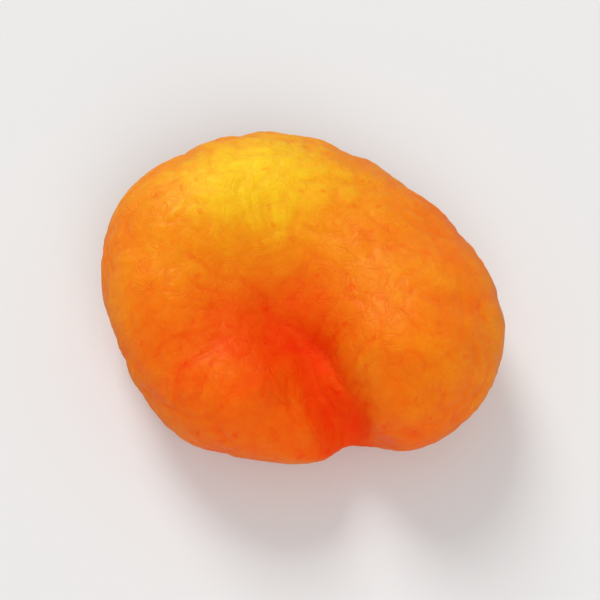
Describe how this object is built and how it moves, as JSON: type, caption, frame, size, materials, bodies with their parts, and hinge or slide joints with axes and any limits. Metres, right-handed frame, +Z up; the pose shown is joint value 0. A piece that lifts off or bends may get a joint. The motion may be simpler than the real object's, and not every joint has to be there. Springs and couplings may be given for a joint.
{
  "type": "dried apricot",
  "caption": "Whole stoned dried apricot, pressed flat, with a plump rim curling round a sunken middle and a slit out to one edge.",
  "frame": {"origin": "on the surface the fruit lies on, under the middle of its outline", "axes": "+Z up through the thickness, +X along the longest extent, -Y towards the edge where the slit opens"},
  "size_m": [0.0354, 0.0313, 0.0144],
  "materials": {
    "apricot_flesh": "soft translucent orange flesh with a thin satin skin, yellow on the rim and red-orange in the folds"
  },
  "bodies": {
    "root": {"dried_apricot": "apricot_flesh"}
  },
  "joints": []
}
